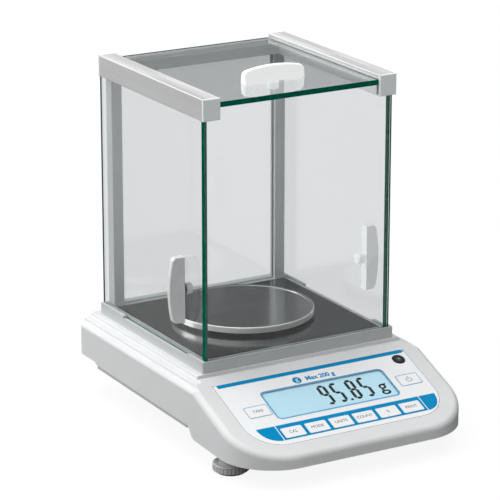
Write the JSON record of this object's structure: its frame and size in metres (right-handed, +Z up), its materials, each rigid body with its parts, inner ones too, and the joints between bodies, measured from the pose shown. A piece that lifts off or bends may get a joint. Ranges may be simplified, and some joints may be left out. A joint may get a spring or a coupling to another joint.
{
  "type": "analytical balance",
  "caption": "Bench laboratory balance with a round steel pan inside a glass draught shield with sliding doors, and a sloping keypad with a digital display.",
  "frame": {"origin": "on the bench, under the centre of the balance", "axes": "+Z up, -Y towards the keypad at the front, +X to the right seen from the front"},
  "size_m": [0.22, 0.2968, 0.3075],
  "materials": {
    "case_white": "fine moulded texture",
    "case_grey": "fine moulded texture",
    "platform_grey": "satin grey paint",
    "floor_steel": "brushed, dark",
    "shield_glass": "clear float glass with green edges",
    "rail_aluminium": "satin anodised",
    "cap_grey": "satin",
    "handle_white": "smooth",
    "overlay_film": "printed polyester film",
    "window_clear": "clear",
    "lcd_glass": "backlit pale blue",
    "circuit_board": "solder mask",
    "connector_black": "moulded",
    "level_black": "moulded",
    "level_lens": "smoked lens",
    "key_film": "printed polyester film",
    "pan_steel": "polished rim, fine brushed top",
    "support_black": "moulded",
    "cell_aluminium": "machined",
    "flexure_bronze": "rolled strip",
    "magnet_iron": "nickel plated iron",
    "coil_copper": "enamelled copper winding",
    "screw_steel": "zinc plated",
    "foot_grey": "moulded, fluted",
    "pad_rubber": "moulded rubber"
  },
  "bodies": {
    "case": {"upper_case": "case_white", "lower_case": "case_grey", "shield_platform": "platform_grey", "chamber_floor": "floor_steel", "front_glass": "shield_glass", "rear_glass": "shield_glass", "rear_beam": "rail_aluminium", "left_top_rail": "rail_aluminium", "right_top_rail": "rail_aluminium", "rear_left_post": "rail_aluminium", "rear_right_post": "rail_aluminium", "front_left_rail_cap": "cap_grey", "front_right_rail_cap": "cap_grey", "rear_left_rail_cap": "cap_grey", "rear_right_rail_cap": "cap_grey", "keypad_overlay": "overlay_film", "display_window": "window_clear", "lcd_module": "lcd_glass", "display_board": "circuit_board", "main_board": "circuit_board", "position_sensor": "circuit_board", "key_switches": "connector_black", "ribbon_cable": "connector_black", "serial_port": "connector_black", "dc_jack": "connector_black", "level_housing": "level_black", "level_lens": "level_lens", "cell_base": "cell_aluminium", "magnet_pot": "magnet_iron", "case_screws": "screw_steel", "machine_screws": "screw_steel"},
    "left_door": {"left_door_glass": "shield_glass", "left_door_handle": "handle_white"},
    "right_door": {"right_door_glass": "shield_glass", "right_door_handle": "handle_white"},
    "top_door": {"top_door_glass": "shield_glass", "top_door_handle": "handle_white"},
    "pan": {"weighing_pan": "pan_steel"},
    "receiver": {"load_receiver": "cell_aluminium", "pan_support": "support_black"},
    "lever": {"force_lever": "cell_aluminium", "force_coil": "coil_copper"},
    "upper_guide": {"upper_guide": "flexure_bronze"},
    "lower_guide": {"lower_guide": "flexure_bronze"},
    "tare_key": {"tare_key": "key_film"},
    "power_key": {"power_key": "key_film"},
    "calibrate_key": {"calibrate_key": "key_film"},
    "mode_key": {"mode_key": "key_film"},
    "units_key": {"units_key": "key_film"},
    "count_key": {"count_key": "key_film"},
    "percent_key": {"percent_key": "key_film"},
    "print_key": {"print_key": "key_film"},
    "front_left_foot": {"front_left_foot_wheel": "foot_grey", "front_left_foot_pad": "pad_rubber"},
    "front_right_foot": {"front_right_foot_wheel": "foot_grey", "front_right_foot_pad": "pad_rubber"},
    "rear_left_foot": {"rear_left_foot_wheel": "foot_grey", "rear_left_foot_pad": "pad_rubber"},
    "rear_right_foot": {"rear_right_foot_wheel": "foot_grey", "rear_right_foot_pad": "pad_rubber"}
  },
  "joints": [
    {"name": "left_door_slide", "type": "slide", "parent": "case", "child": "left_door", "axis": [0, 1, 0], "range_m": [0, 0.115]},
    {"name": "right_door_slide", "type": "slide", "parent": "case", "child": "right_door", "axis": [0, 1, 0], "range_m": [0, 0.115]},
    {"name": "top_door_slide", "type": "slide", "parent": "case", "child": "top_door", "axis": [0, 1, 0], "range_m": [0, 0.11]},
    {"name": "load_slide", "type": "slide", "parent": "case", "child": "receiver", "axis": [0, 0, 1], "range_m": [-0.0002, 0], "stiffness_N_per_m": 6000, "springref_m": 0.0014},
    {"name": "pan_lift", "type": "slide", "parent": "receiver", "child": "pan", "axis": [0, 0, 1], "range_m": [0, 0.03]},
    {"name": "lever_pivot", "type": "hinge", "parent": "case", "child": "lever", "pos_m": [0, 0.068, 0.047], "axis": [1, 0, 0], "range_deg": [0, 1.5]},
    {"name": "upper_guide_pivot", "type": "hinge", "parent": "case", "child": "upper_guide", "pos_m": [0, 0.112, 0.057], "axis": [1, 0, 0], "range_deg": [0, 0.3]},
    {"name": "lower_guide_pivot", "type": "hinge", "parent": "case", "child": "lower_guide", "pos_m": [0, 0.112, 0.036], "axis": [1, 0, 0], "range_deg": [0, 0.3]},
    {"name": "tare_key_press", "type": "slide", "parent": "case", "child": "tare_key", "axis": [0, -0.3633, 0.9317], "range_m": [-0.0004, 0], "stiffness_N_per_m": 1500, "springref_m": 0.0004},
    {"name": "power_key_press", "type": "slide", "parent": "case", "child": "power_key", "axis": [0, -0.3633, 0.9317], "range_m": [-0.0004, 0], "stiffness_N_per_m": 1500, "springref_m": 0.0004},
    {"name": "calibrate_key_press", "type": "slide", "parent": "case", "child": "calibrate_key", "axis": [0, -0.3633, 0.9317], "range_m": [-0.0004, 0], "stiffness_N_per_m": 1500, "springref_m": 0.0004},
    {"name": "mode_key_press", "type": "slide", "parent": "case", "child": "mode_key", "axis": [0, -0.3633, 0.9317], "range_m": [-0.0004, 0], "stiffness_N_per_m": 1500, "springref_m": 0.0004},
    {"name": "units_key_press", "type": "slide", "parent": "case", "child": "units_key", "axis": [0, -0.3633, 0.9317], "range_m": [-0.0004, 0], "stiffness_N_per_m": 1500, "springref_m": 0.0004},
    {"name": "count_key_press", "type": "slide", "parent": "case", "child": "count_key", "axis": [0, -0.3633, 0.9317], "range_m": [-0.0004, 0], "stiffness_N_per_m": 1500, "springref_m": 0.0004},
    {"name": "percent_key_press", "type": "slide", "parent": "case", "child": "percent_key", "axis": [0, -0.3633, 0.9317], "range_m": [-0.0004, 0], "stiffness_N_per_m": 1500, "springref_m": 0.0004},
    {"name": "print_key_press", "type": "slide", "parent": "case", "child": "print_key", "axis": [0, -0.3633, 0.9317], "range_m": [-0.0004, 0], "stiffness_N_per_m": 1500, "springref_m": 0.0004},
    {"name": "front_left_foot_rise", "type": "slide", "parent": "case", "child": "front_left_foot", "axis": [0, 0, -1], "range_m": [-0.003, 0.005]},
    {"name": "front_right_foot_rise", "type": "slide", "parent": "case", "child": "front_right_foot", "axis": [0, 0, -1], "range_m": [-0.003, 0.005]},
    {"name": "rear_left_foot_rise", "type": "slide", "parent": "case", "child": "rear_left_foot", "axis": [0, 0, -1], "range_m": [-0.003, 0.005]},
    {"name": "rear_right_foot_rise", "type": "slide", "parent": "case", "child": "rear_right_foot", "axis": [0, 0, -1], "range_m": [-0.003, 0.005]}
  ],
  "couplings": [
    {"joint": "lever_pivot", "follows": "load_slide", "rad_per_m": -125},
    {"joint": "upper_guide_pivot", "follows": "load_slide", "rad_per_m": -16.78},
    {"joint": "lower_guide_pivot", "follows": "load_slide", "rad_per_m": -16.78}
  ]
}
